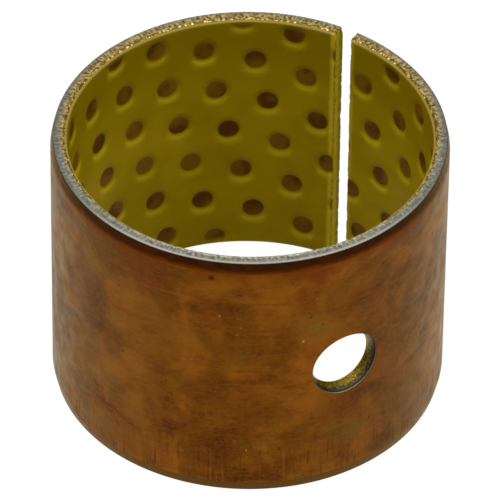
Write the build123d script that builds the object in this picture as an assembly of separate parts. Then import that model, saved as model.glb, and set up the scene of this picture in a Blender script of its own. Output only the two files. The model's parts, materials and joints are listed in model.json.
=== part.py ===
from build123d import *
import math
import os

# Wrapped plain bearing bushing, rolled from a three-layer strip: copper-plated
# steel outside, a sintered bronze layer under it, and an acetal lining with
# round grease indents on the bore.  The strip's ends face each other across an
# axial split, and one oil hole goes through the wall.
# Millimetres.  The origin is the centre of the bore at the lower end face, +Z
# runs along the bore, and the oil hole faces -Y.

# Strip and ring
BORE_DIAMETER = 55.0
LENGTH = 45.0
STEEL_THICKNESS = 1.85
BRONZE_THICKNESS = 0.35
LINING_THICKNESS = 0.30
SPLIT_GAP = 2.65
SPLIT_DIRECTION = 30.0      # degrees, counterclockwise from +X seen from above

# End chamfers, the same at both ends
OUTER_CHAMFER_LENGTH = 1.8
OUTER_CHAMFER_DEPTH = 0.4
INNER_CHAMFER_LENGTH = 0.4
INNER_CHAMFER_DEPTH = 0.5

# Oil hole, punched from the lining side, so it flares towards the outside
OIL_HOLE_DIAMETER = 9.8
OIL_HOLE_OUTER_DIAMETER = 10.9
OIL_HOLE_LAND = 1.0         # depth of the straight part, from the bore outwards
OIL_HOLE_OFFSET = 120.0     # degrees, clockwise from the split seen from above
OIL_HOLE_HEIGHT = LENGTH / 2

# Grease indents: a hexagonal pattern rolled into the strip while it was flat.
# Each is a shallow pocket with sloping sides that stops just short of the
# bronze.  Ten sides are near enough to round, and keep the lining's mesh light.
# "Along" is the distance round the bore from the middle of the split,
# counterclockwise seen from above, and "up" is the height over the lower end.
INDENT_DIAMETER = 4.2
INDENT_FLOOR_DIAMETER = 3.2
INDENT_SKIN = 0.08          # lining left between an indent's floor and the bronze
INDENT_SIDES = 10
INDENT_PITCH = 8.27
INDENT_ROW_TILT = 16.2      # degrees, a row's rise over the strip's length
INDENT_ANCHOR_ALONG = 2.1
INDENT_ANCHOR_UP = 18.65
INDENT_EDGE_CUT = 0.3       # least share of an indent's diameter that an edge leaves
INDENT_LEAD = 0.3           # how far its cutting solid starts inside the bore

CUT_MARGIN = 5.0            # how far a cutting solid runs past what it cuts

# Worked out from the sizes above
BORE_RADIUS = BORE_DIAMETER / 2
LINING_OUTER_RADIUS = BORE_RADIUS + LINING_THICKNESS
BRONZE_OUTER_RADIUS = LINING_OUTER_RADIUS + BRONZE_THICKNESS
OUTER_RADIUS = BRONZE_OUTER_RADIUS + STEEL_THICKNESS
BORE_GIRTH = math.pi * BORE_DIAMETER
INDENT_DEPTH = LINING_THICKNESS - INDENT_SKIN
HEX_ANGLE = 60.0            # between two neighbour directions of the pattern


def wall_section():
    """The ring's cross-section in the XZ plane, with its end chamfers."""
    inner_face_edge = BORE_RADIUS + INNER_CHAMFER_DEPTH
    outer_face_edge = OUTER_RADIUS - OUTER_CHAMFER_DEPTH
    outline = Polyline(
        (inner_face_edge, 0),
        (outer_face_edge, 0),
        (OUTER_RADIUS, OUTER_CHAMFER_LENGTH),
        (OUTER_RADIUS, LENGTH - OUTER_CHAMFER_LENGTH),
        (outer_face_edge, LENGTH),
        (inner_face_edge, LENGTH),
        (BORE_RADIUS, LENGTH - INNER_CHAMFER_LENGTH),
        (BORE_RADIUS, INNER_CHAMFER_LENGTH),
        close=True,
    )
    return make_face(Plane.XZ * outline)


def layer_band(inner_radius, outer_radius):
    """A rectangle in the XZ plane that spans one layer's thickness."""
    width = outer_radius - inner_radius
    middle = (inner_radius + outer_radius) / 2
    return Plane.XZ * Pos(middle, LENGTH / 2) * Rectangle(width, LENGTH + 2 * CUT_MARGIN)


def split_cutter():
    """The straight slot between the strip's two ends."""
    reach = OUTER_RADIUS + CUT_MARGIN
    slot = Pos(reach / 2, 0, LENGTH / 2) * Box(reach, SPLIT_GAP, LENGTH + 2 * CUT_MARGIN)
    return Rot(0, 0, SPLIT_DIRECTION) * slot


def oil_hole_cutter():
    """A straight land at the bore, then a cone that opens towards the outside."""
    land_end = BORE_RADIUS + OIL_HOLE_LAND
    start = BORE_RADIUS - CUT_MARGIN
    flare = (OIL_HOLE_OUTER_DIAMETER - OIL_HOLE_DIAMETER) / 2 / (OUTER_RADIUS - land_end)
    end = OUTER_RADIUS + CUT_MARGIN
    end_radius = OIL_HOLE_DIAMETER / 2 + flare * (end - land_end)
    outline = Polyline(
        (0, start),
        (OIL_HOLE_DIAMETER / 2, start),
        (OIL_HOLE_DIAMETER / 2, land_end),
        (end_radius, end),
        (0, end),
        close=True,
    )
    upright = revolve(make_face(Plane.XZ * outline), Axis.Z)
    lying = Rot(0, 90, 0) * upright
    direction = SPLIT_DIRECTION - OIL_HOLE_OFFSET
    return Rot(0, 0, direction) * Pos(0, 0, OIL_HOLE_HEIGHT) * lying


def indent_centres():
    """Every (along, up) place where the flat strip's pattern marks the lining."""
    tilt = math.radians(INDENT_ROW_TILT)
    steep = math.radians(INDENT_ROW_TILT + HEX_ANGLE)
    row_step = (INDENT_PITCH * math.cos(tilt), INDENT_PITCH * math.sin(tilt))
    next_row = (INDENT_PITCH * math.cos(steep), INDENT_PITCH * math.sin(steep))
    row_distance = INDENT_PITCH * math.sin(math.radians(HEX_ANGLE))
    reach = math.ceil((BORE_GIRTH + LENGTH) / row_distance)
    centres = []
    for row in range(-reach, reach + 1):
        for step in range(-reach, reach + 1):
            along = INDENT_ANCHOR_ALONG + row * next_row[0] + step * row_step[0]
            up = INDENT_ANCHOR_UP + row * next_row[1] + step * row_step[1]
            if marks_the_lining(along, up):
                centres.append((along, up))
    return centres


def marks_the_lining(along, up):
    """True where enough of an indent lies on the strip, away from its four corners."""
    from_split = min(along, BORE_GIRTH - along) - SPLIT_GAP / 2
    from_end = min(up, LENGTH - up) - INNER_CHAMFER_LENGTH
    least = (INDENT_EDGE_CUT - 0.5) * INDENT_DIAMETER
    cuts_split_edge = from_split < INDENT_DIAMETER / 2
    cuts_end_edge = from_end < INDENT_DIAMETER / 2
    if cuts_split_edge and cuts_end_edge:
        return False
    return from_split >= least and from_end >= least


def indent_cutters():
    """One shallow tapered pocket for each indent, cut from the bore outwards."""
    run = (INDENT_DIAMETER - INDENT_FLOOR_DIAMETER) / 2 / INDENT_DEPTH
    mouth_radius = INDENT_DIAMETER / 2 + run * INDENT_LEAD
    mouth = Pos(0, 0, -INDENT_LEAD) * RegularPolygon(mouth_radius, INDENT_SIDES)
    floor = Pos(0, 0, INDENT_DEPTH) * RegularPolygon(INDENT_FLOOR_DIAMETER / 2, INDENT_SIDES)
    cutter = Rot(0, 90, 0) * loft([mouth, floor], ruled=True)
    cutters = []
    for along, up in indent_centres():
        direction = SPLIT_DIRECTION + math.degrees(along / BORE_RADIUS)
        cutters.append(Rot(0, 0, direction) * Pos(BORE_RADIUS, 0, up) * cutter)
    return cutters


def layer(inner_radius, outer_radius, more_cutters=()):
    """One layer of the rolled strip, with the split and the oil hole cut out."""
    ring = revolve(wall_section() & layer_band(inner_radius, outer_radius), Axis.Z)
    return ring - [split_cutter(), oil_hole_cutter(), *more_cutters]


steel_backing = layer(BRONZE_OUTER_RADIUS, OUTER_RADIUS)
bronze_interlayer = layer(LINING_OUTER_RADIUS, BRONZE_OUTER_RADIUS)
acetal_lining = layer(BORE_RADIUS, LINING_OUTER_RADIUS, indent_cutters())

nodes = {
    "steel_backing": steel_backing,
    "bronze_interlayer": bronze_interlayer,
    "acetal_lining": acetal_lining,
}

os.makedirs("parts", exist_ok=True)
for name, shape in nodes.items():
    export_step(shape, f"parts/{name}.step")
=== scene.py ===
import json
import math

import bmesh
import bpy
import numpy as np
from mathutils import Matrix, Vector, noise
from mathutils.geometry import delaunay_2d_cdt

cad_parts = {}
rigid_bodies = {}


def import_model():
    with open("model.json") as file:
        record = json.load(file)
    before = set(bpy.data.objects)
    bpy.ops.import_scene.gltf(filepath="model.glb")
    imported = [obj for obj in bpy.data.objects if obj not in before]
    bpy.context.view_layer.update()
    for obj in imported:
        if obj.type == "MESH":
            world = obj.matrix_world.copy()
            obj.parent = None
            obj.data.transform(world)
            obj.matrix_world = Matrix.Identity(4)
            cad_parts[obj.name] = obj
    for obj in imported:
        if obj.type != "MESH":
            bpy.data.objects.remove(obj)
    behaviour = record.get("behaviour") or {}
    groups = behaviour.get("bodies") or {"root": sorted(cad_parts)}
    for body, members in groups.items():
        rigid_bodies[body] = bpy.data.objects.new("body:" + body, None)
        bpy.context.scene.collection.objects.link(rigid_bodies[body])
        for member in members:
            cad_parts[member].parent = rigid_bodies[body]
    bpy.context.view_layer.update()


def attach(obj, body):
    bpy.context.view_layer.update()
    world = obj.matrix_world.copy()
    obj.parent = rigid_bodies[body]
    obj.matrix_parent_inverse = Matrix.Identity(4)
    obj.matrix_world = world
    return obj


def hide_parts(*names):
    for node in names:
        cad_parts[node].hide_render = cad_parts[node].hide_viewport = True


for leftover in list(bpy.data.objects):
    bpy.data.objects.remove(leftover)

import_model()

# ----------------------------------------------
# Sizes, in millimetres, as in the CAD source
# ----------------------------------------------
MM = 0.001

# Strip and ring
LENGTH = 45.0
BORE_RADIUS = 27.5
LINING_RADIUS = 27.8        # outside of the lining
BRONZE_RADIUS = 28.15       # outside of the bronze
OUTER_RADIUS = 30.0
SPLIT_GAP = 2.65
SPLIT_ANGLE = math.radians(30)
OUTER_CHAMFER = (0.4, 1.8)  # depth, length
INNER_CHAMFER = (0.5, 0.4)
GIRTH = 2 * math.pi * BORE_RADIUS
SPAN = GIRTH - SPLIT_GAP    # the strip's length, measured at the bore

# Oil hole
HOLE_ANGLE = math.radians(-90)
HOLE_HEIGHT = LENGTH / 2
HOLE_RADIUS = 4.9
HOLE_OUTER_RADIUS = 5.45
HOLE_LAND = 1.0             # depth of the straight part
HOLE_STEPS = 96             # points round it
HOLE_EDGE_ROUND = 0.22      # softness of its outer edge
HOLE_BORE_ROUND = 0.25      # softness of its edge at the bore
HOLE_ROUND_SHARE = 0.6      # how much of a full round those soft edges have
HOLE_LINING_EDGE = 0.1      # how much wider it is at the bore, where the lining is worn
HOLE_WALL_RING = HOLE_RADIUS + 0.8  # radius of the ring of points in the walls round it
# Radii, from the bushing's axis, of the points down its wall
HOLE_STEEL_ROWS = (28.3, 28.5, 28.8, 29.1, 29.4, 29.7)
HOLE_BRONZE_ROWS = (27.92, 28.04)
HOLE_LINING_ROWS = (27.72,)

# Grease indents: the pattern is the CAD source's, the soft round shape is this script's
INDENT_PITCH = 8.27
INDENT_TILT = math.radians(16.2)
INDENT_ANCHOR = (2.1, 18.65)
INDENT_CAD_DIAMETER = 4.2
INDENT_LEAST = 0.15         # least share that an edge leaves of one, half the CAD source's
INDENT_RIM = 2.75           # radius where the soft slope starts
INDENT_FLOOR = 1.72         # radius of the flat floor
INDENT_DEPTH = 0.27
INDENT_PRESSED = (-0.19, 1.71)  # heights over an end's chamfer where it gains its depth
INDENT_RINGS = (2.75, 2.5, 2.3, 2.15, 2.0, 1.9, 1.8, 1.7, 1.58, 1.45, 1.0, 0.5)
INDENT_STEPS = 28           # points on a ring, and half of that on the last two
END_MARGIN = 0.4            # what those points keep from the strip's ends,
FACE_MARGIN = 0.12          # from the bushing's end faces
HOLE_MARGIN = 0.75          # and from the oil hole
PUNCHED_AWAY = 1.4          # how far inside the oil hole a lost indent's centre lies
DEEPEST_RADIUS = 27.775     # where the lining is left thinnest
MARK_NAME = "pocket"        # the lining's attribute for its stain and its painted lip highlights
STAIN_FADE = (1.30, 2.05)   # distances from an indent's centre where its brown fades
LIP_HIGHLIGHT_FACING = (0.25, 1.0)    # share of "below" in the direction where a lip's painted highlight gains strength
LIP_HIGHLIGHT_RISE = (1.78, 2.23)     # distances from the centre where the painted highlight comes up
LIP_HIGHLIGHT_FALL = (2.1, 3.5)       # and where it goes down again
END_HIGHLIGHT_FADE = (0.45, 1.05)  # distances from the strip's ends where their painted highlights fade
END_HIGHLIGHT_STRENGTH = (1.35, 0.7)  # of the painted highlights along the strip's first and last end

# Softness and wear
EDGE_ROUND = 0.12           # soft corners of the steel
BRONZE_ROUND = 0.05
LINING_ROUND = 0.9          # how far along the strip the lining's ends are pressed back
LINING_PRESS = 0.25         # and by what share of a full round
TEAR_DEPTH = 0.17           # most that the sheared ends fall short of a straight cut
TEAR_REACH = 0.7            # how far along the strip the torn edge is felt
TEAR_BROAD = (1.1, 2.2)     # size of its broad bumps, over the height and across the wall
TEAR_SMALL = (0.45, 1.2)
HIGHLIGHT_ANGLE = math.radians(60.4)  # from +X: painted golden highlight on the rim's bronze towards it, painted grey highlights opposite
# Relief of the cut end faces: half height, size and seed of each noise
STEEL_RELIEF = ((0.035, 0.55, 3), (0.02, 0.25, 9))
BRONZE_RELIEF = ((0.05, 0.3, 5),)

# Mesh density
ALONG_STEPS = 960           # points along the steel and the bronze
LINING_ALONG_STEPS = 720
WALL_ROWS = 180             # points over their height at the strip's ends
LINING_WALL_ROWS = 170
OUTSIDE_SPACING = 1.1       # between the points of the steel's outside
BORE_SPACING = 0.9          # of the bore, between the indents' own rings
LAYER_SPACING = 1.2         # where the bronze and the lining meet
HIDDEN_SPACING = 2.2        # where the steel and the bronze meet
CLEAR_SHARE = 0.55          # of the spacing: how near those points come to others
NEAR_END = 1.2              # how close to the strip's ends the walls get extra points
CAP_MARGIN = 0.4            # from a sheared end's edges up and down to its inner points
CAP_SPACING = 0.3
TRIANGLE_HEIGHT = 0.866     # of an even triangle with sides of 1
END_SNAP = 1e-4             # how far the triangulation may move a point off the strip's end
WELD_DISTANCE = 2e-6        # metres
LEAST_EDGE = 1e-7           # metres

CAMERA_TURN = math.radians(-29.6)   # the camera's direction round the bushing


def toward(x, y, z):
    """A direction given as seen by the camera: x to its right, y away from it, z up."""
    c = math.cos(CAMERA_TURN)
    s = math.sin(CAMERA_TURN)
    return Vector((x * c - y * s, x * s + y * c, z))


# ----------------------------------------------
# The rolled strip: s runs along it, z is the height and r the radius
# ----------------------------------------------
def end_angle(r):
    """Half of the angle that the split's parallel faces take up at radius r."""
    return math.asin(SPLIT_GAP / 2 / r)


def angle_of(s, r):
    """Direction, from +X, of the place s along the strip at radius r."""
    margin = end_angle(r)
    return SPLIT_ANGLE + margin + s / SPAN * (2 * math.pi - 2 * margin)


def s_of(angle, r):
    """The reverse of angle_of."""
    margin = end_angle(r)
    turn = (angle - SPLIT_ANGLE) % (2 * math.pi)
    return (turn - margin) / (2 * math.pi - 2 * margin) * SPAN


def torn_back(s, z, r):
    """How far a place near the strip's sheared ends is moved along it, away from the end."""
    near = min(s, SPAN - s)
    if near >= TEAR_REACH:
        return 0.0
    side = 1 if s < SPAN / 2 else -1
    broad = noise.noise(Vector((20 * side, z / TEAR_BROAD[0], r / TEAR_BROAD[1])))
    small = noise.noise(Vector((30 * side, z / TEAR_SMALL[0], r / TEAR_SMALL[1])))
    depth = TEAR_DEPTH * min(max(0.12 + 0.7 * broad + 0.55 * small, 0.0), 1.0)
    return side * depth * (1 - near / TEAR_REACH)


def rolled(s, z, r):
    """The point at s, z and r, in metres in the shared frame."""
    a = angle_of(s + torn_back(s, z, r), r)
    return Vector((r * math.cos(a), r * math.sin(a), z)) * MM


def round_in(distance, radius):
    """How far a rounded corner has fallen back, that distance from its edge."""
    if distance >= radius:
        return 0.0
    return radius - math.sqrt(radius * radius - (radius - distance) ** 2)


def end_round(s, radius):
    """The fall of the surface towards the strip's two ends."""
    return round_in(max(min(s, SPAN - s), 0.0), radius)


def along_samples(count, radius):
    """Places along the strip, closer together on its rounded ends."""
    close = [0.0, 0.12, 0.35, 0.65, 1.0]
    first = [radius * c for c in close]
    middle = np.linspace(radius, SPAN - radius, count)[1:-1]
    return first + list(middle) + [SPAN - f for f in reversed(first)]


def indent_centres():
    """(s, z) of every grease indent, in the CAD source's own hexagonal pattern."""
    steep = INDENT_TILT + math.radians(60)
    row = (INDENT_PITCH * math.cos(steep), INDENT_PITCH * math.sin(steep))
    step = (INDENT_PITCH * math.cos(INDENT_TILT), INDENT_PITCH * math.sin(INDENT_TILT))
    reach = math.ceil((GIRTH + LENGTH) / INDENT_PITCH) + 4
    least = (INDENT_LEAST - 0.5) * INDENT_CAD_DIAMETER
    cut_reach = INDENT_CAD_DIAMETER / 2
    found = []
    for i in range(-reach, reach + 1):
        for j in range(-reach, reach + 1):
            along = INDENT_ANCHOR[0] + i * row[0] + j * step[0]
            up = INDENT_ANCHOR[1] + i * row[1] + j * step[1]
            from_split = min(along, GIRTH - along) - SPLIT_GAP / 2
            from_end = min(up, LENGTH - up) - INNER_CHAMFER[1]
            in_corner = from_split < cut_reach and from_end < cut_reach
            if min(from_split, from_end) >= least and not in_corner:
                found.append((along - SPLIT_GAP / 2, up))
    return found


INDENTS = np.array(indent_centres())


def smooth(x, low, high):
    """Rises from 0 to 1 as x goes from low to high, with soft ends."""
    x = np.clip((x - low) / (high - low), 0.0, 1.0)
    return x * x * (3 - 2 * x)


def nearest_indent(s, z):
    """The distance to the nearest indent's centre, and the height of that centre over z."""
    below = INDENTS[:, 1] - z
    away = np.hypot(INDENTS[:, 0] - s, below)
    near = away.argmin()
    return away[near], below[near]


def pressed_flat(z):
    """Falls from 1 to 0 towards the bushing's two ends, where the indents are flattened."""
    edge = min(z, LENGTH - z) - INNER_CHAMFER[1]
    return float(smooth(edge, *INDENT_PRESSED))


def pocket(s, z):
    """Share of an indent's full depth at a place on the lining, from 0 to 1."""
    away, _ = nearest_indent(s, z)
    outward = np.clip((away - INDENT_FLOOR) / (INDENT_RIM - INDENT_FLOOR), 0.0, 1.0)
    return float((1 - outward) ** 2) * pressed_flat(z)


def lip_highlight(s, z):
    """Strength of the painted highlight on the lower lip of each indent and along the strip's
    ends.
    """
    away, below = nearest_indent(s, z)
    facing = smooth(below / max(away, 1e-6), *LIP_HIGHLIGHT_FACING)
    rise = smooth(away, *LIP_HIGHLIGHT_RISE)
    fall = 1 - smooth(away, *LIP_HIGHLIGHT_FALL)
    under = float(facing * rise * fall) * pressed_flat(z)
    strength = END_HIGHLIGHT_STRENGTH[0 if s < SPAN / 2 else 1]
    # Painted highlight along the strip's ends, stronger on its first end
    ends = strength * float(1 - smooth(min(s, SPAN - s), *END_HIGHLIGHT_FADE))
    return max(under, ends)


def stain_and_highlight(s, z):
    """The lining's mark: 1 on an indent's brown floor, 0 on plain lining, below 0 where a
    highlight is painted.
    """
    away, _ = nearest_indent(s, z)
    brown = float(1 - smooth(away, *STAIN_FADE)) * pressed_flat(z)
    return brown - lip_highlight(s, z) * (1 - brown)


def hole_loop(radius, r):
    """(s, z) round the oil hole, at that radius from its axis, on the cylinder of radius r."""
    loop = []
    for k in range(HOLE_STEPS):
        turn = 2 * math.pi * k / HOLE_STEPS
        angle = HOLE_ANGLE + math.asin(radius * math.cos(turn) / r)
        loop.append((s_of(angle, r), HOLE_HEIGHT + radius * math.sin(turn)))
    return loop


def hole_radius_at(r):
    """Radius of the oil hole at distance r from the bushing's axis."""
    land_end = BORE_RADIUS + HOLE_LAND
    share = max(0.0, (r - land_end) / (OUTER_RADIUS - land_end))
    return HOLE_RADIUS + share * (HOLE_OUTER_RADIUS - HOLE_RADIUS)


# ----------------------------------------------
# Mesh building
# ----------------------------------------------
class Shell:
    """Collects faces patch by patch, then welds them into one closed mesh."""

    def __init__(self):
        self.points = []
        self.faces = []
        self.materials = []
        self.marks = []

    def add(self, points, faces, materials, marks=None):
        """Adds faces over new points, with a material slot for each face."""
        first = len(self.points)
        self.points += points
        self.marks += marks or [0.0] * len(points)
        self.faces += [[first + i for i in face] for face in faces]
        self.materials += materials

    def build(self, name, materials, mark_name=None, sharp=35):
        """Makes the object. Edges that turn by more than sharp degrees stay crisp."""
        bm = bmesh.new()
        layer = bm.verts.layers.float.new(mark_name) if mark_name else None
        verts = [bm.verts.new(p) for p in self.points]
        if layer:
            for v, mark in zip(verts, self.marks):
                v[layer] = mark
        for f, m in zip(self.faces, self.materials):
            face = bm.faces.new([verts[i] for i in f])
            face.material_index = m
            face.smooth = True
        bmesh.ops.remove_doubles(bm, verts=bm.verts, dist=WELD_DISTANCE)
        bmesh.ops.dissolve_degenerate(bm, edges=bm.edges, dist=LEAST_EDGE)
        bmesh.ops.recalc_face_normals(bm, faces=bm.faces)
        open_edges = sum(1 for e in bm.edges if len(e.link_faces) != 2)
        mesh = bpy.data.meshes.new(name)
        bm.to_mesh(mesh)
        bm.free()
        mesh.set_sharp_from_angle(angle=math.radians(sharp))
        for material in materials:
            mesh.materials.append(material)
        made = bpy.data.objects.new(name, mesh)
        bpy.context.scene.collection.objects.link(made)
        print(name, "triangles", sum(len(p.vertices) - 2 for p in mesh.polygons),
              "open edges", open_edges)
        return made


def inside(polygon, x, y):
    """Which of the points in the arrays x and y lie inside the polygon (even-odd test)."""
    px, py = np.array(polygon).T
    qx, qy = np.roll(px, -1), np.roll(py, -1)
    hit = np.zeros(len(x), bool)
    for ax, ay, bx, by in zip(px, py, qx, qy):
        if ay == by:
            continue
        cross = (ay > y) != (by > y)
        hit ^= cross & (x < (bx - ax) * (y - ay) / (by - ay) + ax)
    return hit


def triangulated(loop, hole, extra):
    """Triangles over the region inside loop and outside hole, using the extra points."""
    points = list(loop) + list(hole) + list(extra)
    edges = [(i, (i + 1) % len(loop)) for i in range(len(loop))]
    first = len(loop)
    edges += [(first + i, first + (i + 1) % len(hole)) for i in range(len(hole))]
    made = delaunay_2d_cdt([Vector(p) for p in points], edges, [], 0, 1e-6)
    verts = np.array([tuple(v) for v in made[0]])
    tris = np.array([tuple(f) for f in made[2]])
    centre = verts[tris].mean(axis=1)
    keep = inside(loop, centre[:, 0], centre[:, 1])
    if hole:
        keep &= ~inside(hole, centre[:, 0], centre[:, 1])
    return verts, tris[keep]


def filler(spacing, z_low, z_high, features, clear):
    """A triangular grid of points that keeps clear, in millimetres, of the features."""
    rows = max(1, round((z_high - z_low) / (spacing * TRIANGLE_HEIGHT)))
    columns = round(SPAN / spacing)
    grid = []
    for i in range(1, rows):
        z = z_low + (z_high - z_low) * i / rows
        for j in range(columns):
            grid.append(((j + 0.25 + 0.5 * (i % 2)) * SPAN / columns, z))
    grid = np.array(grid)
    taken = {}
    for f in features:
        taken.setdefault((int(f[0] // clear), int(f[1] // clear)), []).append(f)
    kept = []
    for s, z in grid:
        near = []
        for i in (-1, 0, 1):
            for j in (-1, 0, 1):
                near += taken.get((int(s // clear) + i, int(z // clear) + j), [])
        if all(math.hypot(s - f[0], z - f[1]) > clear for f in near):
            kept.append((s, z))
    return np.array(kept)


def on_strip(s):
    """Sets s back on the strip's exact end where the triangulation's rounding moved it off."""
    if s < END_SNAP:
        return 0.0
    return SPAN if s > SPAN - END_SNAP else float(s)


def cylinder_patch(shell, samples, radius_at, heights, material, hole, extra, spacing,
                   mark_at=None):
    """A layer's inside or outside between its two end strips, with the oil hole left out."""
    z_low = heights[0]
    z_high = heights[-1]
    bottom = [(s, z_low) for s in samples]
    right = [(SPAN, z) for z in heights[1:-1]]
    top = [(s, z_high) for s in reversed(samples)]
    left = [(0.0, z) for z in reversed(heights[1:-1])]
    loop = bottom + right + top + left
    ends = [s for s in samples if 0 < s < NEAR_END or SPAN - NEAR_END < s < SPAN]
    features = list(extra) + [(s, z) for s in ends for z in heights[1:-1]]
    grid = filler(spacing, z_low, z_high, features + loop + list(hole), spacing * CLEAR_SHARE)
    grid = grid[~inside(hole, grid[:, 0], grid[:, 1])]
    verts, tris = triangulated(loop, hole, features + [tuple(g) for g in grid])
    verts = [(on_strip(s), z) for s, z in verts]
    points = [rolled(s, z, radius_at(s, z)) for s, z in verts]
    marks = [mark_at(s, z) for s, z in verts] if mark_at else None
    shell.add(points, [list(t) for t in tris], [material] * len(tris), marks)


def grid_faces(rows, columns, closed):
    """Four-sided faces between rows of points. closed joins each row's end to its start."""
    faces = []
    for row in range(rows - 1):
        for i in range(columns if closed else columns - 1):
            j = (i + 1) % columns
            faces.append([row * columns + i, row * columns + j,
                          (row + 1) * columns + j, (row + 1) * columns + i])
    return faces


def end_strip(shell, samples, profile, materials, shape, mark_at=None):
    """Sweeps a run of cross-section points along the strip. shape gives (r, z)."""
    points = []
    marks = []
    for k in range(len(profile)):
        for s in samples:
            r, z = shape(k, s)
            points.append(rolled(s, z, r))
            marks.append(mark_at(s, z) if mark_at else 0.0)
    faces = grid_faces(len(profile), len(samples), False)
    slots = [m for m in materials for _ in samples[1:]]
    shell.add(points, faces, slots, marks)


def end_caps(shell, shape, order, rising, falling, material, inside_points=()):
    """Closes both ends of the strip. Each outline follows the lower profile in that order,
    one wall upwards, the upper profile and the other wall down. inside_points are (r, z).
    """
    for s in (0.0, SPAN):
        outline = [shape(False)(k, s) for k in order]
        outline += [(rising[0](s, z), z) for z in rising[1][1:-1]]
        outline += [shape(True)(k, s) for k in reversed(order)]
        outline += [(falling[0](s, z), z) for z in reversed(falling[1][1:-1])]
        verts, tris = triangulated(outline, [], inside_points)
        points = [rolled(s, z, r) for r, z in verts]
        shell.add(points, [list(t) for t in tris], [material] * len(tris))


def hole_wall(shell, radii, inner_edge, outer_edge, material):
    """The oil hole's wall through one layer. Each edge holds ((s, z), r) points."""
    points = [rolled(s, z, r) for (s, z), r in inner_edge]
    for r in radii:
        points += [rolled(s, z, r) for s, z in hole_loop(hole_radius_at(r), r)]
    points += [rolled(s, z, r) for (s, z), r in outer_edge]
    faces = grid_faces(len(radii) + 2, HOLE_STEPS, True)
    shell.add(points, faces, [material] * len(faces))


def grain(point, size, seed):
    """Noise from -1 to 1 with bumps of about that size in millimetres."""
    return noise.noise(point / (size * MM) + Vector((seed, 0, 0)))


def relief(point, noises):
    """How far a cut end face lies under its highest places, at that point."""
    return sum(half * (1 + grain(point, size, seed)) for half, size, seed in noises)


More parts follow.
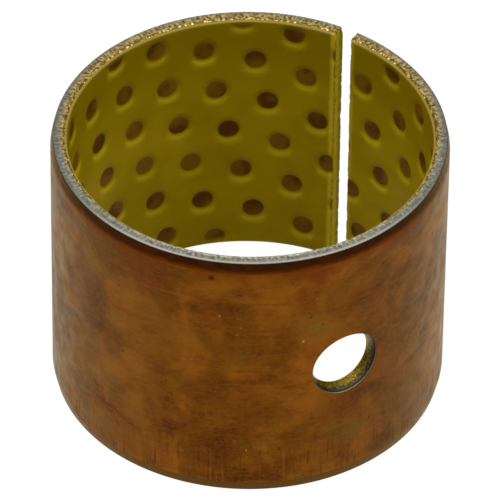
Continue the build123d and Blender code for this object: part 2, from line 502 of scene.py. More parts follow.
# ----------------------------------------------
# Node helpers
# ----------------------------------------------
class Graph:
    """A material's node tree, with short calls for the nodes used here."""

    def __init__(self, name):
        self.material = bpy.data.materials.new(name)
        self.material.use_nodes = True
        self.tree = self.material.node_tree
        self.tree.nodes.clear()
        self.coord = self.node("ShaderNodeTexCoord").outputs["Object"]

    def node(self, kind, **settings):
        made = self.tree.nodes.new(kind)
        for key, value in settings.items():
            setattr(made, key, value)
        return made

    def link(self, source, socket):
        self.tree.links.new(source, socket)

    def feed(self, socket, value):
        """Links value where it is another node's socket, and sets it where it is a number."""
        if isinstance(value, bpy.types.NodeSocket):
            self.link(value, socket)
        else:
            socket.default_value = value

    def scaled(self, size, stretch):
        """Object coordinates, divided by a size in millimetres that stretch scales per axis."""
        mapping = self.node("ShaderNodeMapping")
        self.link(self.coord, mapping.inputs["Vector"])
        scale = [1 / (size * share * MM) for share in stretch]
        mapping.inputs["Scale"].default_value = scale
        return mapping.outputs["Vector"]

    def noise_on(self, vector, detail, rough, offset, distort=0.0):
        """Noise over a vector that has its scale already."""
        made = self.node("ShaderNodeTexNoise", noise_dimensions="4D")
        self.link(vector, made.inputs["Vector"])
        made.inputs["W"].default_value = offset
        made.inputs["Scale"].default_value = 1.0
        made.inputs["Detail"].default_value = detail
        made.inputs["Roughness"].default_value = rough
        made.inputs["Distortion"].default_value = distort
        return made.outputs["Fac"]

    def noise(self, size, detail, rough, offset, stretch=(1, 1, 1), distort=0.0):
        """Noise with bumps of that size in millimetres. offset tells one from another."""
        return self.noise_on(self.scaled(size, stretch), detail, rough, offset, distort)

    def cells(self, size, stretch=(1, 1, 1)):
        """Distance to the nearest of scattered points, that size apart in millimetres."""
        made = self.node("ShaderNodeTexVoronoi", feature="F1")
        self.link(self.scaled(size, stretch), made.inputs["Vector"])
        made.inputs["Scale"].default_value = 1.0
        return made.outputs["Distance"]

    def math(self, operation, a, b=0.0):
        made = self.node("ShaderNodeMath", operation=operation)
        self.feed(made.inputs[0], a)
        self.feed(made.inputs[1], b)
        return made.outputs[0]

    def ramp(self, value, low, high, a=0.0, b=1.0):
        """Maps low..high to a..b with smooth ends, and holds it outside."""
        made = self.node("ShaderNodeMapRange", interpolation_type="SMOOTHSTEP")
        self.feed(made.inputs["Value"], value)
        made.inputs["From Min"].default_value = low
        made.inputs["From Max"].default_value = high
        made.inputs["To Min"].default_value = a
        made.inputs["To Max"].default_value = b
        return made.outputs["Result"]

    def product(self, a, b):
        return self.math("MULTIPLY", a, b)

    def shaken(self, value, wobble, amount):
        """value, moved up and down by a noise, by up to half of that amount."""
        return self.math("ADD", value, self.product(self.math("SUBTRACT", wobble, 0.5), amount))

    def mix(self, share, a, b):
        """Colour a where share is 0 and colour b where it is 1."""
        made = self.node("ShaderNodeMix", data_type="RGBA", blend_type="MIX")
        self.feed(made.inputs["Factor"], share)
        self.feed(made.inputs["A"], a)
        self.feed(made.inputs["B"], b)
        return made.outputs["Result"]

    def over(self, colour, value, low, high, share, paint):
        """colour, with paint over it by up to that share as value goes from low to high."""
        return self.mix(self.ramp(value, low, high, 0, share), colour, paint)

    def xyz(self):
        """The object coordinates, in metres."""
        made = self.node("ShaderNodeSeparateXYZ")
        self.link(self.coord, made.inputs[0])
        return made.outputs

    def radius(self):
        """Distance from the bushing's axis, in millimetres."""
        x, y, _ = self.xyz()
        squares = self.math("ADD", self.product(x, x), self.product(y, y))
        return self.product(self.math("SQRT", squares), 1 / MM)

    def height(self):
        """Height over the lower end face, in millimetres."""
        return self.product(self.xyz()[2], 1 / MM)

    def near_faces(self, inner, outer):
        """Rises from 0 to 1 towards both end faces, between those two distances from them."""
        low = self.ramp(self.height(), inner, outer)
        high = self.ramp(self.height(), LENGTH - inner, LENGTH - outer)
        return self.math("MAXIMUM", low, high)

    def highlight_side(self):
        """From -1 to 1 across the ring: 1 where the rim's painted golden highlight is
        strongest, -1 where its painted grey highlights are.
        """
        made = self.node("ShaderNodeVectorMath", operation="DOT_PRODUCT")
        self.link(self.coord, made.inputs[0])
        reach = 1 / (OUTER_RADIUS * MM)
        toward_drag = (reach * math.cos(HIGHLIGHT_ANGLE), reach * math.sin(HIGHLIGHT_ANGLE), 0)
        made.inputs[1].default_value = toward_drag
        return made.outputs["Value"]

    def radial(self, across, along, offset):
        """Noise drawn out across the rim: torn bars that point at the axis."""
        x, y, z = self.xyz()
        turn = self.product(self.math("ARCTAN2", y, x), OUTER_RADIUS / across)
        vector = self.node("ShaderNodeCombineXYZ")
        self.link(turn, vector.inputs["X"])
        self.link(self.product(self.radius(), 1 / along), vector.inputs["Y"])
        self.link(self.product(z, 1 / (along * MM)), vector.inputs["Z"])
        return self.noise_on(vector.outputs["Vector"], 2.0, 0.5, offset)

    def bump(self, height, distance, strength):
        """A fine relief. distance is in millimetres."""
        made = self.node("ShaderNodeBump")
        self.feed(made.inputs["Height"], height)
        made.inputs["Distance"].default_value = distance * MM
        made.inputs["Strength"].default_value = strength
        return made.outputs["Normal"]

    def finish(self, colour, rough, metallic, normal, **fixed):
        """Ends the tree in one shader. fixed names sockets, with _ for a space."""
        shader = self.node("ShaderNodeBsdfPrincipled")
        self.feed(shader.inputs["Base Color"], colour)
        self.feed(shader.inputs["Roughness"], rough)
        self.feed(shader.inputs["Metallic"], metallic)
        self.link(normal, shader.inputs["Normal"])
        for key, value in fixed.items():
            shader.inputs[key.replace("_", " ")].default_value = value
        out = self.node("ShaderNodeOutputMaterial")
        self.link(shader.outputs[0], out.inputs["Surface"])
        return self.material


def rgb(r, g, b):
    """An sRGB colour, 0 to 255, as Blender's linear values."""
    def linear(c):
        c = c / 255
        return c / 12.92 if c <= 0.04045 else ((c + 0.055) / 1.055) ** 2.4
    return (linear(r), linear(g), linear(b), 1.0)


# ----------------------------------------------
# Materials
# ----------------------------------------------
# The plating's sheen at grazing angles, and that of the other bare metals
PLATE_TINT = (1.0, 1.0, 0.82, 1.0)
CHAMFER_TINT = (1.0, 0.87, 0.64, 1.0)
SHEARED_TINT = (0.85, 0.75, 0.40, 1.0)
BRONZE_TINT = (0.9, 0.8, 0.5, 1.0)


def copper_plate():
    """Tarnished copper plating: cloudy browns, faint rolling streaks, specks."""
    g = Graph("copper_plate")
    # Clouds of lighter and darker brown, with worn, olive and red patches in them
    clouds = g.noise(11, 4, 0.6, 1.0, (1, 1, 1.2), distort=0.6)
    patches = g.noise(8, 5, 0.64, 7.0, (1.4, 1.4, 0.8), distort=0.6)
    red = g.noise(6, 3, 0.6, 11.0, distort=0.5)
    colour = g.mix(g.ramp(clouds, 0.38, 0.62), rgb(92, 48, 2), rgb(132, 76, 11))
    worn = g.product(g.ramp(patches, 0.47, 0.66), g.ramp(g.height(), 10, 34, 0.95, 0.65))
    colour = g.mix(worn, colour, rgb(70, 29, 0))
    colour = g.over(colour, patches, 0.46, 0.30, 0.6, rgb(102, 76, 24))
    colour = g.over(colour, red, 0.50, 0.66, 0.6, rgb(112, 50, 10))
    # Streaks and lines round the ring, from rolling, and a fine mottle
    streaks = g.noise(2.4, 4, 0.65, 3.0, (5, 5, 0.35))
    fine = g.noise(0.5, 3, 0.6, 9.0, (1.5, 1.5, 1))
    lines = g.noise(1.0, 3, 0.6, 17.0, (9, 9, 0.3))
    colour = g.over(colour, streaks, 0.52, 0.74, 0.35, rgb(70, 34, 0))
    colour = g.over(colour, streaks, 0.45, 0.30, 0.25, rgb(134, 90, 30))
    colour = g.over(colour, fine, 0.30, 0.70, 0.3, rgb(126, 80, 24))
    colour = g.over(colour, lines, 0.56, 0.72, 0.3, rgb(76, 36, 2))
    colour = g.over(colour, lines, 0.42, 0.30, 0.25, rgb(138, 88, 30))
    # Small dark and light blotches
    pits = g.noise(1.3, 3, 0.6, 18.0)
    colour = g.over(colour, pits, 0.62, 0.72, 0.6, rgb(66, 34, 6))
    colour = g.over(colour, pits, 0.36, 0.27, 0.5, rgb(142, 92, 38))
    # Upright scratches near the lower end
    scratch = g.noise(0.45, 2, 0.5, 4.0, (1, 1, 12))
    low = g.ramp(g.height(), 3, 12, 0.8, 0.0)
    light_scratch = g.product(g.ramp(scratch, 0.58, 0.68, 0, 0.5), low)
    dark_scratch = g.product(g.ramp(scratch, 0.44, 0.34, 0, 0.8), low)
    colour = g.mix(light_scratch, colour, rgb(122, 80, 30))
    colour = g.mix(dark_scratch, colour, rgb(70, 34, 4))
    # A few dark spots and pale specks
    spots = g.product(g.ramp(g.cells(6.5), 0.03, 0.11, 1, 0),
                      g.ramp(g.noise(7, 1, 0.5, 12.0), 0.52, 0.60))
    colour = g.mix(spots, colour, rgb(56, 34, 12))
    specks = g.product(g.ramp(g.cells(3.1, (1, 1, 1.4)), 0.03, 0.08, 1, 0),
                       g.ramp(g.noise(5, 1, 0.5, 15.0), 0.58, 0.64))
    colour = g.mix(specks, colour, rgb(170, 130, 84))
    # Redder under the top chamfer
    upper = g.shaken(g.height(), red, 14)
    colour = g.over(colour, upper, LENGTH - 4.5, LENGTH - 1.5, 0.65, rgb(104, 46, 8))
    rough = g.ramp(g.noise(3, 4, 0.6, 21.0), 0.3, 0.7, 0.36, 0.52)
    relief = g.math("ADD", g.product(fine, 0.5), g.product(streaks, 0.5))
    return g.finish(colour, rough, 1.0, g.bump(relief, 0.03, 0.8), Specular_Tint=PLATE_TINT)


def copper_chamfer():
    """The pressed chamfer: the same plating, dark at the top and near copper below."""
    g = Graph("copper_chamfer")
    patches = g.noise(4, 4, 0.6, 31.0, distort=0.8)
    scuff = g.noise(0.5, 3, 0.6, 33.0, (2, 2, 0.6))
    upper = g.shaken(g.height(), patches, 2.0)
    dark = g.mix(g.ramp(patches, 0.35, 0.65), rgb(42, 21, 5), rgb(60, 28, 8))
    colour = g.mix(g.ramp(upper, LENGTH - 1.9, LENGTH - 1.0), rgb(98, 44, 6), dark)
    colour = g.mix(g.ramp(g.height(), 10, 20), rgb(88, 56, 18), colour)
    colour = g.over(colour, scuff, 0.62, 0.76, 0.4, rgb(104, 60, 26))
    rough = g.ramp(scuff, 0.3, 0.7, 0.30, 0.48)
    return g.finish(colour, rough, 1.0, g.bump(scuff, 0.02, 0.6), Specular_Tint=CHAMFER_TINT)


def sawn_steel():
    """The strip's cut edge: torn grey steel with bronze smeared over it from the bore, and
    painted highlights: golden on that bronze on one side, grey along the outer edge on the
    other.
    """
    g = Graph("sawn_steel")
    torn = g.noise(0.6, 3, 0.6, 41.0, distort=0.4)
    bars = g.radial(0.45, 0.75, 46.0)
    side = g.highlight_side()
    colour = g.mix(g.ramp(torn, 0.32, 0.66), rgb(98, 95, 82), rgb(140, 137, 124))
    colour = g.over(colour, bars, 0.52, 0.68, 0.65, rgb(178, 176, 166))
    colour = g.over(colour, bars, 0.46, 0.34, 0.6, rgb(78, 74, 62))
    colour = g.over(colour, g.radius(), 28.6, 29.3, 0.45, rgb(84, 80, 68))
    # Painted highlight: a bright line along the outer edge, on the side opposite the painted
    # golden highlight
    edge_highlight = g.product(g.ramp(g.radius(), 28.9, 29.3), g.ramp(side, -0.35, -0.9, 0, 0.8))
    colour = g.mix(edge_highlight, colour, rgb(186, 181, 170))
    # The smeared bronze, painted reaching further out, with golden highlights, on one side of
    # the ring
    smear_and_glint = g.math("SUBTRACT", g.radius(), g.ramp(side, -0.7, 0.8, -0.35, 0.9))
    smear_and_glint = g.shaken(smear_and_glint, torn, 1.2)
    bronze = g.mix(g.ramp(bars, 0.36, 0.66), rgb(92, 74, 26), rgb(186, 164, 106))
    colour = g.over(colour, smear_and_glint, 28.75, 28.05, 0.95, bronze)
    colour = g.over(colour, g.radius(), 29.42, 29.56, 0.8, rgb(84, 76, 64))
    rough = g.ramp(torn, 0.3, 0.7, 0.5, 0.3)
    relief = g.math("ADD", torn, bars)
    return g.finish(colour, rough, 1.0, g.bump(relief, 0.04, 0.8))


def sheared_steel():
    """The strip's sheared end: burnished olive-brown, greyer towards the outside."""
    g = Graph("sheared_steel")
    tear = g.noise(0.5, 4, 0.6, 51.0, (1, 1, 1.6), distort=0.5)
    ragged = g.shaken(g.radius(), tear, 1.4)
    colour = g.mix(g.ramp(tear, 0.36, 0.64), rgb(82, 72, 24), rgb(108, 96, 46))
    colour = g.over(colour, ragged, 29.4, 28.4, 1.0, rgb(144, 124, 24))
    colour = g.over(colour, g.radius(), 29.5, 29.85, 0.8, rgb(112, 104, 78))
    rough = g.ramp(tear, 0.3, 0.7, 0.52, 0.38)
    return g.finish(colour, rough, 1.0, g.bump(tear, 0.06, 1.0), Specular_Tint=SHEARED_TINT)


def punched_steel():
    """The oil hole's wall: smeared lining near the bore, dark steel, a pale burr."""
    g = Graph("punched_steel")
    tear = g.noise(0.6, 4, 0.6, 55.0, distort=0.6)
    grit = g.noise(0.35, 3, 0.6, 56.0)
    ragged = g.shaken(g.radius(), tear, 1.6)
    smear = g.mix(g.ramp(tear, 0.40, 0.60), rgb(112, 98, 6), rgb(126, 90, 18))
    smear = g.over(smear, grit, 0.54, 0.66, 0.8, rgb(178, 150, 70))
    steel = g.mix(g.ramp(grit, 0.36, 0.62), rgb(50, 42, 16), rgb(84, 76, 50))
    colour = g.mix(g.ramp(ragged, 28.75, 29.25), smear, steel)
    colour = g.over(colour, g.radius(), 29.45, 29.6, 1, rgb(38, 36, 26))
    colour = g.over(colour, g.radius(), 29.78, 29.9, 1, rgb(168, 162, 142))
    return g.finish(colour, 0.45, 0.8, g.bump(tear, 0.08, 0.8))


def sintered_bronze():
    """Powder grains sintered together: crowns painted with highlights, pores between them
    painted in shade.
    """
    g = Graph("sintered_bronze")
    crown = g.ramp(g.cells(0.42), 0.25, 0.70, 1.0, 0.0)
    tone = g.ramp(g.noise(0.6, 2, 0.5, 61.0), 0.35, 0.62)
    # Grains show at the two end faces; at the split the layer is smeared and plain
    ends = g.near_faces(0.6, 0.3)
    # Painted highlights on the grains' crowns and painted shade in the pores, at the end faces
    crown_highlight = g.mix(tone, rgb(126, 104, 40), rgb(206, 182, 120))
    pore_shade = g.mix(ends, rgb(124, 104, 26), rgb(92, 74, 22))
    colour = g.mix(crown, pore_shade, g.mix(ends, rgb(146, 124, 32), crown_highlight))
    # Painted grey highlight over the grains, on the side opposite the rim's painted golden
    # highlight
    uneven_highlight = g.mix(tone, rgb(104, 98, 80), rgb(176, 171, 156))
    share = g.product(ends, g.ramp(g.highlight_side(), -0.4, -0.9, 0, 0.9))
    colour = g.mix(share, colour, uneven_highlight)
    return g.finish(colour, 0.36, 1.0, g.bump(crown, 0.05, 1.0), Specular_Tint=BRONZE_TINT)


def acetal():
    """Olive-yellow acetal, waxy, with brown grease-stained indent floors, painted highlights on
    their lips and edges, painted shade at the top.
    """
    g = Graph("acetal")
    cloud = g.noise(9, 3, 0.55, 71.0)
    fine = g.noise(0.7, 4, 0.6, 72.0)
    colour = g.mix(g.ramp(cloud, 0.35, 0.65), rgb(150, 128, 0), rgb(166, 142, 2))
    colour = g.over(colour, fine, 0.40, 0.75, 0.2, rgb(172, 150, 8))
    # Painted shade: darker towards the top
    tone = g.math("ADD", g.height(), g.product(cloud, 30.0))
    colour = g.over(colour, tone, 44, 58, 0.7, rgb(124, 102, 0))
    # Painted highlights on the lips under the indents, uneven in strength, and stronger ones
    # along the strip's first end
    mark = g.node("ShaderNodeAttribute", attribute_name=MARK_NAME).outputs["Fac"]
    uneven_highlight = g.product(g.ramp(g.noise(16, 1, 0.5, 74.0), 0.35, 0.65, 0.4, 0.9),
                       g.ramp(fine, 0.25, 0.75, 0.7, 1.0))
    colour = g.mix(g.product(g.ramp(mark, 0.0, -0.9), uneven_highlight), colour, rgb(196, 176, 36))
    colour = g.over(colour, mark, -0.9, -1.5, 0.75, rgb(216, 186, 40))
    # Brown floors, each a little darker or lighter than the next
    grease = g.math("ADD", g.product(g.noise(7, 2, 0.5, 75.0), 0.75),
                    g.product(g.noise(1.3, 3, 0.6, 73.0), 0.25))
    brown = g.mix(g.ramp(grease, 0.42, 0.58), rgb(86, 54, 6), rgb(122, 88, 12))
    colour = g.mix(g.ramp(g.shaken(mark, fine, 0.3), 0.02, 0.95), colour, brown)
    # Painted highlight: paler acetal along the cut edges at the end faces
    colour = g.mix(g.product(g.near_faces(0.8, 0.3), 0.5), colour, rgb(176, 158, 84))
    rough = g.ramp(fine, 0.3, 0.7, 0.34, 0.46)
    normal = g.bump(fine, 0.015, 0.6)
    return g.finish(colour, rough, 0.0, normal, IOR=1.08, Specular_IOR_Level=0.5)


# ----------------------------------------------
# Pieces
# ----------------------------------------------
def ring_points(radii, r):
    """Rings of points round the oil hole on the cylinder of radius r."""
    found = []
    for radius in radii:
        found += hole_loop(radius, r)
    return found


def cap_points(r_low, r_high):
    """A grid of points inside an end cap, so that its torn face keeps its shape."""
    found = []
    tall = LENGTH - 2 * CAP_MARGIN
    rows = int(tall / CAP_SPACING)
    columns = int((r_high - r_low) / CAP_SPACING)
    for i in range(1, rows):
        for j in range(1, columns):
            found.append((r_low + (r_high - r_low) * j / columns, CAP_MARGIN + tall * i / rows))
    return found


def wall(radius_at, low, high, rows=WALL_ROWS):
    """A layer's inside or outside: its radius at (s, z), and even heights up its ends."""
    return radius_at, list(np.linspace(low, high, rows))


def on_cylinder(radius):
    """The radius function of a wall that is a plain cylinder."""
    return lambda s, z: radius


def steel_piece():
    """The backing: plated outside and chamfers, sawn rims, sheared ends."""
    shell = Shell()
    samples = along_samples(ALONG_STEPS, EDGE_ROUND)
    copper, chamfer, sawn, punched, sheared = range(5)
    depth, length = OUTER_CHAMFER
    face_edge = OUTER_RADIUS - depth

    # The cross-section's end, from the outside to the bronze, as
    # (r, distance from the end plane, how far r and that distance move at a soft corner).
    slope = math.atan2(depth, length)
    profile = [(OUTER_RADIUS, length, 1.0, 0.0)]
    for share in (0.25, 0.5, 0.75, 0.92):
        profile.append((OUTER_RADIUS - depth * share, length * (1 - share),
                        math.cos(slope), math.sin(slope)))
    for inward, down in ((0.0, 0.17), (0.03, 0.07), (0.09, 0.02), (0.17, 0.0)):
        profile.append((face_edge - inward, down, 0.7, 0.7))
    first_sawn = len(profile) - 1
    for r in np.linspace(face_edge - 0.19, BRONZE_RADIUS, 9)[1:]:
        profile.append((float(r), 0.0, 0.0, 1.0 if r > BRONZE_RADIUS else 0.0))
    # Six bands of chamfer with its soft corner, then the sawn rim
    kinds = [chamfer] * 6 + [sawn] * (len(profile) - 7)

    def shape(top):
        def at(k, s):
            r, dz, move_r, move_z = profile[k]
            fall = end_round(s, EDGE_ROUND)
            r -= move_r * fall
            dz += move_z * fall
            if first_sawn <= k < len(profile) - 1:
                p = rolled(s, dz + (LENGTH if top else 0), r)
                dz += relief(p, STEEL_RELIEF)
            return r, (LENGTH - dz) if top else dz
        return at

    for top in (True, False):
        end_strip(shell, samples, profile, kinds, shape(top))

    centre_s = s_of(HOLE_ANGLE, OUTER_RADIUS)

    def outside(s, z):
        across = math.sin(angle_of(s, OUTER_RADIUS) - HOLE_ANGLE) * OUTER_RADIUS
        away = math.hypot(across, z - HOLE_HEIGHT) - HOLE_OUTER_RADIUS
        r = OUTER_RADIUS - end_round(s, EDGE_ROUND)
        if abs(s - centre_s) < 2 * HOLE_OUTER_RADIUS and away < HOLE_EDGE_ROUND:
            r -= round_in(max(away, 0.0), HOLE_EDGE_ROUND) * HOLE_ROUND_SHARE
        return r

    outer = wall(outside, length, LENGTH - length)
    inner = wall(on_cylinder(BRONZE_RADIUS), 0, LENGTH)
    outer_hole = hole_loop(HOLE_OUTER_RADIUS, OUTER_RADIUS)
    inner_hole = hole_loop(HOLE_RADIUS, BRONZE_RADIUS)
    rings = [HOLE_OUTER_RADIUS + HOLE_EDGE_ROUND * f for f in (0.15, 0.4, 0.7, 1.0, 1.6, 3.0)]
    cylinder_patch(shell, samples, *outer, copper, outer_hole,
                   ring_points(rings, OUTER_RADIUS), OUTSIDE_SPACING)
    cylinder_patch(shell, samples, *inner, sheared, inner_hole,
                   ring_points([HOLE_WALL_RING], BRONZE_RADIUS), HIDDEN_SPACING)
    hole_wall(shell, HOLE_STEEL_ROWS, [(p, BRONZE_RADIUS) for p in inner_hole],
              [(p, outside(*p)) for p in outer_hole], punched)
    end_caps(shell, shape, range(len(profile))[::-1], outer, inner, sheared,
             cap_points(BRONZE_RADIUS, OUTER_RADIUS - 0.2))
    return shell


def bronze_piece():
    """The thin layer between: it shows on the rim, at the split and in the hole."""
    shell = Shell()
    samples = along_samples(ALONG_STEPS, BRONZE_ROUND)
    chamfer_r = BORE_RADIUS + INNER_CHAMFER[0]
    low = INNER_CHAMFER[1] * (chamfer_r - LINING_RADIUS) / INNER_CHAMFER[0]
    # Across the end, from the steel to the lining, as (r, distance from the end plane)
    profile = [(BRONZE_RADIUS, 0.0), (28.11, 0.0), (28.06, 0.0), (chamfer_r, 0.0),
               (27.93, low * 0.35), (27.86, low * 0.7), (LINING_RADIUS, low)]
    kinds = [0] * (len(profile) - 1)

    def shape(top):
        def at(k, s):
            r, dz = profile[k]
            if 0 < k < len(profile) - 1:
                p = rolled(s, dz + (LENGTH if top else 0), r)
                dz += relief(p, BRONZE_RELIEF)
            return r, (LENGTH - dz) if top else dz
        return at

    for top in (True, False):
        end_strip(shell, samples, profile, kinds, shape(top))
    outer = wall(on_cylinder(BRONZE_RADIUS), 0, LENGTH)
    inner = wall(on_cylinder(LINING_RADIUS), low, LENGTH - low)
    outer_hole = hole_loop(hole_radius_at(BRONZE_RADIUS), BRONZE_RADIUS)
    inner_hole = hole_loop(HOLE_RADIUS, LINING_RADIUS)
    cylinder_patch(shell, samples, *outer, 0, outer_hole,
                   ring_points([HOLE_WALL_RING], BRONZE_RADIUS), HIDDEN_SPACING)
    cylinder_patch(shell, samples, *inner, 0, inner_hole,
                   ring_points([HOLE_WALL_RING], LINING_RADIUS), LAYER_SPACING)
    hole_wall(shell, HOLE_BRONZE_ROWS, [(p, LINING_RADIUS) for p in inner_hole],
              [(p, BRONZE_RADIUS) for p in outer_hole], 0)
    end_caps(shell, shape, range(len(profile))[::-1], outer, inner, 0)
    return shell


def indent_points(z_low, z_high):
    """Rings of points round each indent that stay clear of the edges and the oil hole."""
    hole_s = s_of(HOLE_ANGLE, BORE_RADIUS)
    points = []
    for centre_s, centre_z in INDENTS:
        if math.hypot(centre_s - hole_s, centre_z - HOLE_HEIGHT) < HOLE_RADIUS - PUNCHED_AWAY:
            continue
        for radius in INDENT_RINGS:
            steps = INDENT_STEPS // 2 if radius in INDENT_RINGS[-2:] else INDENT_STEPS
            stagger = 0.5 if radius < INDENT_CAD_DIAMETER / 2 else 0.0
            for k in range(steps):
                turn = 2 * math.pi * (k + stagger) / steps
                s = centre_s + radius * math.cos(turn)
                z = centre_z + radius * math.sin(turn)
                in_strip = END_MARGIN < s < SPAN - END_MARGIN
                if in_strip and z_low + FACE_MARGIN < z < z_high - FACE_MARGIN:
                    points.append((s, z))
    points = np.array(points)
    clear = hole_loop(HOLE_RADIUS + HOLE_MARGIN, BORE_RADIUS)
    return [tuple(q) for q in points[~inside(clear, points[:, 0], points[:, 1])]]


def lining_piece():
    """The acetal: soft-edged, with a dished pocket at every indent."""
    shell = Shell()
    samples = along_samples(LINING_ALONG_STEPS, LINING_ROUND)
    thick = LINING_RADIUS - BORE_RADIUS
    low = INNER_CHAMFER[1] * (INNER_CHAMFER[0] - thick) / INNER_CHAMFER[0]
    start = INNER_CHAMFER[1] + 0.10
    # Down the inner chamfer to the bore, as (r, distance from the end plane)
    profile = [(LINING_RADIUS, low)]
    for share in (0.3, 0.6, 0.85):
        profile.append((LINING_RADIUS - share * thick, low + share * (INNER_CHAMFER[1] - low)))
    profile.append((BORE_RADIUS + 0.012, INNER_CHAMFER[1] + 0.035))
    profile.append((BORE_RADIUS, start))
    kinds = [0] * (len(profile) - 1)

    def bore_r(s, z):
        pressed = LINING_PRESS * end_round(s, LINING_ROUND)
        return min(BORE_RADIUS + INDENT_DEPTH * pocket(s, z) + pressed, DEEPEST_RADIUS)

    def shape(top):
        def at(k, s):
            r, dz = profile[k]
            z = (LENGTH - dz) if top else dz
            if k == len(profile) - 1:
                return bore_r(s, z), z
            if k > 0:
                r = min(max(r, bore_r(s, z)), LINING_RADIUS - 0.01)
            return r, z
        return at

    def inner_surface(s, z):
        across = s - s_of(HOLE_ANGLE, BORE_RADIUS)
        away = math.hypot(across, z - HOLE_HEIGHT) - HOLE_RADIUS - HOLE_LINING_EDGE
        fall = round_in(max(away, 0), HOLE_BORE_ROUND) * HOLE_ROUND_SHARE
        return min(bore_r(s, z) + fall, DEEPEST_RADIUS)

    for top in (True, False):
        end_strip(shell, samples, profile, kinds, shape(top), stain_and_highlight)
    outer = wall(on_cylinder(LINING_RADIUS), low, LENGTH - low, LINING_WALL_ROWS)
    inner = wall(inner_surface, start, LENGTH - start, LINING_WALL_ROWS)
    outer_hole = hole_loop(HOLE_RADIUS, LINING_RADIUS)
    inner_hole = hole_loop(HOLE_RADIUS + HOLE_LINING_EDGE, BORE_RADIUS)
    rings = [HOLE_RADIUS + HOLE_LINING_EDGE + f for f in (0.05, 0.12, 0.25, 0.5)]
    features = indent_points(start, LENGTH - start) + ring_points(rings, BORE_RADIUS)
    cylinder_patch(shell, samples, *outer, 0, outer_hole,
                   ring_points([HOLE_WALL_RING], LINING_RADIUS), LAYER_SPACING)
    cylinder_patch(shell, samples, *inner, 0, inner_hole, features, BORE_SPACING, stain_and_highlight)
    hole_wall(shell, HOLE_LINING_ROWS, [(p, inner_surface(*p)) for p in inner_hole],
              [(p, LINING_RADIUS) for p in outer_hole], 0)
    end_caps(shell, shape, range(len(profile)), inner, outer, 0)
    return shell


steel = steel_piece().build("steel_shell", [
    copper_plate(), copper_chamfer(), sawn_steel(), punched_steel(), sheared_steel(),
])
bronze = bronze_piece().build("bronze_layer", [sintered_bronze()])
lining = lining_piece().build("acetal_liner", [acetal()], MARK_NAME, sharp=50)

for piece, node, slot in (
    (steel, "steel_backing", "copper_plated_steel"),
    (bronze, "bronze_interlayer", "sintered_bronze"),
    (lining, "acetal_lining", "acetal"),
):
    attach(piece, "root")
    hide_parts(node)


# ----------------------------------------------
# Floor, light and camera
# ----------------------------------------------
FLOOR_HALF = 3.0            # metres
FLOOR_GLOW = 1.05           # strength of the white that the camera and reflections see
FLOOR_GLOW_SHARE = 0.92     # how much of it; the rest is plain floor, which keeps the shadow
WORLD_LIGHT = 0.31          # the world's strength as a light
WORLD_SEEN = 1.0            # and as the camera and reflections see it
LIGHT_AIM_HEIGHT = 0.02     # metres over the floor


def floor_material():
    """Pale floor, white to the camera and in reflections, with the part's shadow."""
    g = Graph("studio_floor")
    tone = g.mix(g.ramp(g.noise(400, 2, 0.5, 81.0), 0.3, 0.7),
                 rgb(228, 228, 228), rgb(232, 232, 232))
    diffuse = g.node("ShaderNodeBsdfDiffuse")
    g.link(tone, diffuse.inputs["Color"])
    glow = g.node("ShaderNodeEmission")
    glow.inputs["Strength"].default_value = FLOOR_GLOW
    path = g.node("ShaderNodeLightPath").outputs
    seen = g.math("MAXIMUM", path["Is Camera Ray"],
                  g.math("MAXIMUM", path["Is Glossy Ray"], path["Is Transmission Ray"]))
    mixed = g.node("ShaderNodeMixShader")
    g.link(g.product(seen, FLOOR_GLOW_SHARE), mixed.inputs["Fac"])
    g.link(diffuse.outputs[0], mixed.inputs[1])
    g.link(glow.outputs[0], mixed.inputs[2])
    out = g.node("ShaderNodeOutputMaterial")
    g.link(mixed.outputs[0], out.inputs["Surface"])
    return g.material


floor_mesh = bpy.data.meshes.new("floor")
corners = [(x * FLOOR_HALF, y * FLOOR_HALF, 0) for x, y in ((-1, -1), (1, -1), (1, 1), (-1, 1))]
floor_mesh.from_pydata(corners, [], [(0, 1, 2, 3)])
floor_mesh.materials.append(floor_material())
floor = bpy.data.objects.new("floor", floor_mesh)
bpy.context.scene.collection.objects.link(floor)

scene = bpy.context.scene
scene.view_settings.view_transform = "Standard"

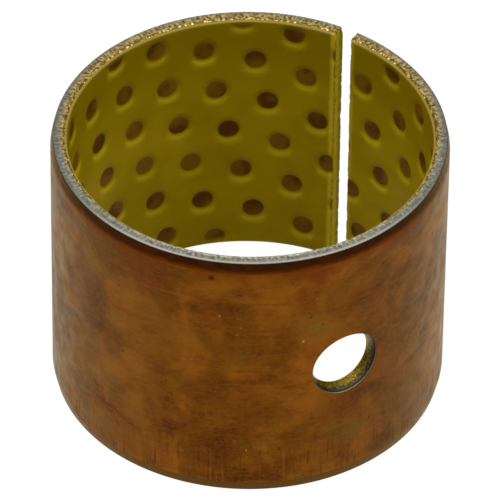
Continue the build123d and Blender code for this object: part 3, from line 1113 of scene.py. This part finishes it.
world = bpy.data.worlds.new("studio")
world.use_nodes = True
scene.world = world
tree = world.node_tree
tree.nodes.clear()
path = tree.nodes.new("ShaderNodeLightPath").outputs
seen = tree.nodes.new("ShaderNodeMath")
seen.operation = "MAXIMUM"
tree.links.new(path["Is Camera Ray"], seen.inputs[0])
tree.links.new(path["Is Glossy Ray"], seen.inputs[1])
strength = tree.nodes.new("ShaderNodeMapRange")
tree.links.new(seen.outputs[0], strength.inputs["Value"])
strength.inputs["To Min"].default_value = WORLD_LIGHT
strength.inputs["To Max"].default_value = WORLD_SEEN
background = tree.nodes.new("ShaderNodeBackground")
background.inputs["Color"].default_value = (1, 1, 1, 1)
tree.links.new(strength.outputs["Result"], background.inputs["Strength"])
out = tree.nodes.new("ShaderNodeOutputWorld")
tree.links.new(background.outputs[0], out.inputs["Surface"])


def softbox(name, place, size, watts):
    """A square area light, size in metres, aimed at the bushing's middle."""
    data = bpy.data.lights.new(name, "AREA")
    data.shape = "SQUARE"
    data.size = size
    data.energy = watts
    lamp = bpy.data.objects.new(name, data)
    lamp.location = place
    line = Vector((0, 0, LIGHT_AIM_HEIGHT)) - lamp.location
    lamp.rotation_euler = line.to_track_quat("-Z", "Y").to_euler()
    scene.collection.objects.link(lamp)


softbox("top_key", toward(0, -0.04, 0.55), 0.45, 1.2)
softbox("left_key", toward(-0.34, -0.11, 0.42), 0.35, 0.8)
softbox("right_key", toward(0.34, -0.11, 0.42), 0.35, 1.0)

# The camera, fitted to the object's outline. Lengths are in metres.
CAMERA_TILT = math.radians(40.72)   # down from level
CAMERA_ROLL = 0.0133                # radians
CAMERA_DISTANCE = 1.0191            # from the point aimed at
CAMERA_AIM = (0.000183, 0.02223)    # that point, to the right of the axis and up
LENS = 482.44                       # millimetres

camera_data = bpy.data.cameras.new("camera")
camera_data.lens = LENS
camera_data.clip_start = 0.05
camera_data.clip_end = 20
camera = bpy.data.objects.new("camera", camera_data)
scene.collection.objects.link(camera)
aim = toward(CAMERA_AIM[0], 0, CAMERA_AIM[1])
back = toward(0, -math.cos(CAMERA_TILT), math.sin(CAMERA_TILT))
right = toward(1, 0, 0)
up = back.cross(right)
x_axis = right * math.cos(CAMERA_ROLL) + up * math.sin(CAMERA_ROLL)
y_axis = up * math.cos(CAMERA_ROLL) - right * math.sin(CAMERA_ROLL)
matrix = Matrix((x_axis, y_axis, back)).transposed().to_4x4()
matrix.translation = aim + back * CAMERA_DISTANCE
camera.matrix_world = matrix
scene.camera = camera
